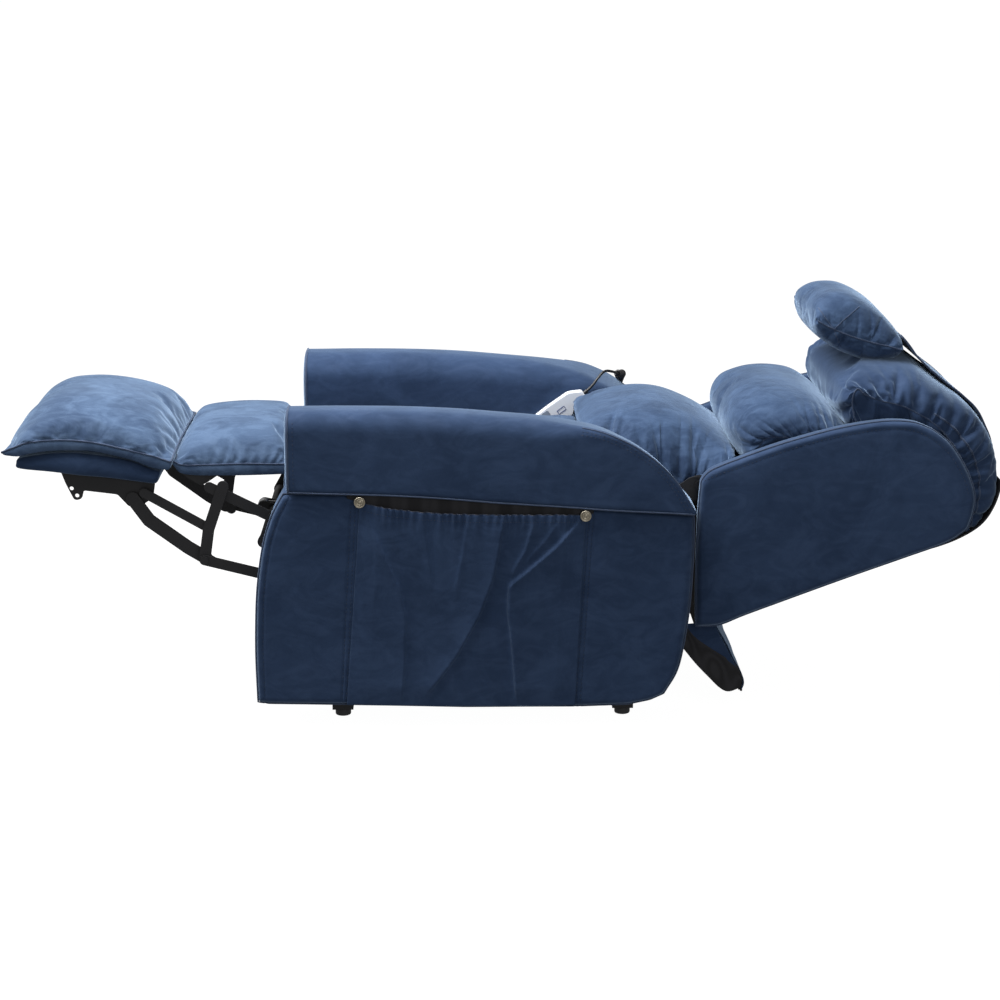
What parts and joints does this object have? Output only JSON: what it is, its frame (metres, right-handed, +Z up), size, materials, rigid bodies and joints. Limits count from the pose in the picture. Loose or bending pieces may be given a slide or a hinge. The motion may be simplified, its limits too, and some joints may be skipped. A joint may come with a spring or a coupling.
{
  "type": "lift recliner chair",
  "caption": "Powered lift recliner armchair laid flat, with raised legrest on a scissor linkage, soft back pillows, side pockets and a corded hand control.",
  "frame": {"origin": "on the floor under the middle of the overall width and length, chair laid flat with legrest raised", "axes": "+X to the sitter's left, +Y from the feet to the head, +Z up"},
  "size_m": [0.783, 1.9394, 0.8096],
  "materials": {
    "blue_suede": "brushed micro-suede",
    "black_lining": "matt woven lining",
    "plywood": "sawn",
    "spring_wire": "oiled",
    "antique_nickel": "aged",
    "black_plastic": "fine texture",
    "motor_plastic": "fine texture",
    "bright_rod": "ground",
    "white_plastic": "satin",
    "grey_key": "soft",
    "cord_rubber": "satin",
    "black_board": "satin black",
    "black_steel": "satin black"
  },
  "bodies": {
    "base": {"base_frame": "black_steel", "base_feet": "black_plastic"},
    "front_lift_links": {"front_links": "black_steel"},
    "rear_lift_arms": {"rear_lift_arms": "black_steel"},
    "lift_motor": {"lift_motor": "motor_plastic"},
    "lift_rod": {"lift_rod": "bright_rod"},
    "seat_frame": {"chassis_frame": "black_steel", "seat_plate_left": "black_steel", "seat_plate_right": "black_steel", "seat_box": "plywood", "seat_springs": "spring_wire", "seat_cushion": "blue_suede", "side_panel_left": "blue_suede", "side_panel_right": "blue_suede", "arm_frames": "plywood", "arm_pad_left": "blue_suede", "arm_pad_right": "blue_suede", "side_pocket_left": "blue_suede", "side_pocket_right": "blue_suede", "pocket_snaps": "antique_nickel", "control_box": "black_plastic", "power_supply": "black_plastic", "handset": "white_plastic", "handset_lead": "cord_rubber", "handset_coil": "cord_rubber", "cord_gland": "black_plastic"},
    "key_back_up": {"key_back_up": "grey_key"},
    "key_back_down": {"key_back_down": "grey_key"},
    "key_lift_up": {"key_lift_up": "grey_key"},
    "key_lift_down": {"key_lift_down": "grey_key"},
    "upper_links": {"upper_link_left": "black_steel", "upper_link_right": "black_steel", "drive_tube": "black_steel"},
    "lower_links": {"lower_links": "black_steel"},
    "cross_links": {"cross_links": "black_steel"},
    "goosenecks": {"gooseneck_left": "black_steel", "gooseneck_right": "black_steel"},
    "second_links": {"second_links": "black_steel"},
    "footrest": {"footrest_brackets": "black_steel", "footrest_springs": "spring_wire", "footrest_board": "blue_suede", "footrest_pillow": "blue_suede"},
    "calf_flap": {"calf_board": "black_board", "calf_pillow": "blue_suede"},
    "legrest_motor": {"legrest_motor": "motor_plastic"},
    "legrest_rod": {"legrest_rod": "bright_rod"},
    "back_motor": {"back_motor": "motor_plastic"},
    "back_rod": {"back_rod": "bright_rod"},
    "backrest": {"back_frame": "plywood", "recline_plates": "black_steel", "back_springs": "spring_wire", "back_wing_left": "blue_suede", "back_wing_right": "blue_suede", "back_panel": "black_lining", "lumbar_pillow": "blue_suede", "middle_pillow": "blue_suede", "head_cushion": "blue_suede", "head_pillow": "blue_suede", "head_flap": "blue_suede"},
    "rear_skirt": {"rear_skirt": "blue_suede"}
  },
  "joints": [
    {"name": "lift", "type": "hinge", "parent": "base", "child": "rear_lift_arms", "pos_m": [0, -0.0902, 0.07], "axis": [1, 0, 0], "range_deg": [0, 62]},
    {"name": "seat_tilt", "type": "hinge", "parent": "rear_lift_arms", "child": "seat_frame", "pos_m": [0, 0.1798, 0.1], "axis": [1, 0, 0], "range_deg": [-43.31, 0]},
    {"name": "front_link_swing", "type": "hinge", "parent": "base", "child": "front_lift_links", "pos_m": [0, -0.2802, 0.07], "axis": [1, 0, 0], "range_deg": [0, 80.01]},
    {"name": "lift_motor_swing", "type": "hinge", "parent": "base", "child": "lift_motor", "pos_m": [0, 0.2348, 0.12], "axis": [1, 0, 0], "range_deg": [-5.94, 0]},
    {"name": "lift_rod_stroke", "type": "slide", "parent": "lift_motor", "child": "lift_rod", "axis": [0, -0.9993, 0.0379], "range_m": [0, 0.16854]},
    {"name": "legrest_fold", "type": "hinge", "parent": "seat_frame", "child": "upper_links", "pos_m": [0, -0.4473, 0.3732], "axis": [1, 0, 0], "range_deg": [0, 113.65]},
    {"name": "lower_link_swing", "type": "hinge", "parent": "seat_frame", "child": "lower_links", "pos_m": [0, -0.4505, 0.2614], "axis": [1, 0, 0], "range_deg": [0, 104.6]},
    {"name": "cross_link_swing", "type": "hinge", "parent": "upper_links", "child": "cross_links", "pos_m": [0, -0.552, 0.4254], "axis": [1, 0, 0], "range_deg": [-98.11, 0]},
    {"name": "gooseneck_swing", "type": "hinge", "parent": "cross_links", "child": "goosenecks", "pos_m": [0, -0.5852, 0.2957], "axis": [1, 0, 0], "range_deg": [-67.14, 0]},
    {"name": "second_link_swing", "type": "hinge", "parent": "cross_links", "child": "second_links", "pos_m": [0, -0.5766, 0.3546], "axis": [1, 0, 0], "range_deg": [-75.44, 0]},
    {"name": "footrest_swing", "type": "hinge", "parent": "goosenecks", "child": "footrest", "pos_m": [0, -0.7209, 0.4124], "axis": [1, 0, 0], "range_deg": [0, 149.07]},
    {"name": "calf_flap_fold", "type": "hinge", "parent": "seat_frame", "child": "calf_flap", "pos_m": [0, -0.4202, 0.465], "axis": [1, 0, 0], "range_deg": [0, 90.09], "deforming": ["calf_pillow"]},
    {"name": "legrest_motor_swing", "type": "hinge", "parent": "seat_frame", "child": "legrest_motor", "pos_m": [0, 0.0798, 0.3], "axis": [1, 0, 0], "range_deg": [-2.43, 0]},
    {"name": "legrest_rod_stroke", "type": "slide", "parent": "legrest_motor", "child": "legrest_rod", "axis": [0, -0.9983, 0.0586], "range_m": [-0.09785, 0]},
    {"name": "recline", "type": "hinge", "parent": "seat_frame", "child": "backrest", "pos_m": [0, 0.3598, 0.44], "axis": [1, 0, 0], "range_deg": [0, 55], "deforming": ["lumbar_pillow"]},
    {"name": "back_motor_swing", "type": "hinge", "parent": "seat_frame", "child": "back_motor", "pos_m": [0, -0.1702, 0.262], "axis": [1, 0, 0], "range_deg": [0, 4.28]},
    {"name": "back_rod_stroke", "type": "slide", "parent": "back_motor", "child": "back_rod", "axis": [0, 0.9939, 0.1104], "range_m": [0, 0.10018]},
    {"name": "skirt_hang", "type": "hinge", "parent": "backrest", "child": "rear_skirt", "pos_m": [0, 0.3918, 0.16], "axis": [1, 0, 0], "range_deg": [-75.08, 0], "deforming": ["rear_skirt"]},
    {"name": "press_back_up", "type": "slide", "parent": "seat_frame", "child": "key_back_up", "axis": [-1, 0, 0], "range_m": [0, 0.001], "stiffness_N_per_m": 400, "springref_m": -0.0006},
    {"name": "press_back_down", "type": "slide", "parent": "seat_frame", "child": "key_back_down", "axis": [-1, 0, 0], "range_m": [0, 0.001], "stiffness_N_per_m": 400, "springref_m": -0.0006},
    {"name": "press_lift_up", "type": "slide", "parent": "seat_frame", "child": "key_lift_up", "axis": [-1, 0, 0], "range_m": [0, 0.001], "stiffness_N_per_m": 400, "springref_m": -0.0006},
    {"name": "press_lift_down", "type": "slide", "parent": "seat_frame", "child": "key_lift_down", "axis": [-1, 0, 0], "range_m": [0, 0.001], "stiffness_N_per_m": 400, "springref_m": -0.0006}
  ],
  "couplings": [
    {"joint": "seat_tilt", "follows": "lift", "ratio": -0.6979},
    {"joint": "front_link_swing", "follows": "lift", "ratio": 1.2892},
    {"joint": "lift_motor_swing", "follows": "lift", "ratio": -0.095727},
    {"joint": "lift_rod_stroke", "follows": "lift", "m_per_rad": 0.1556},
    {"joint": "lower_link_swing", "follows": "legrest_fold", "ratio": 0.9194},
    {"joint": "cross_link_swing", "follows": "legrest_fold", "ratio": -0.86236},
    {"joint": "gooseneck_swing", "follows": "legrest_fold", "ratio": -0.59012},
    {"joint": "second_link_swing", "follows": "legrest_fold", "ratio": -0.66309},
    {"joint": "footrest_swing", "follows": "legrest_fold", "ratio": 1.3103},
    {"joint": "calf_flap_fold", "follows": "legrest_fold", "ratio": 0.79188},
    {"joint": "legrest_motor_swing", "follows": "legrest_fold", "ratio": -0.021383},
    {"joint": "legrest_rod_stroke", "follows": "legrest_fold", "m_per_rad": -0.049277},
    {"joint": "back_motor_swing", "follows": "recline", "ratio": 0.077705},
    {"joint": "back_rod_stroke", "follows": "recline", "m_per_rad": 0.10426},
    {"joint": "skirt_hang", "follows": "recline", "ratio": -1.3636}
  ]
}
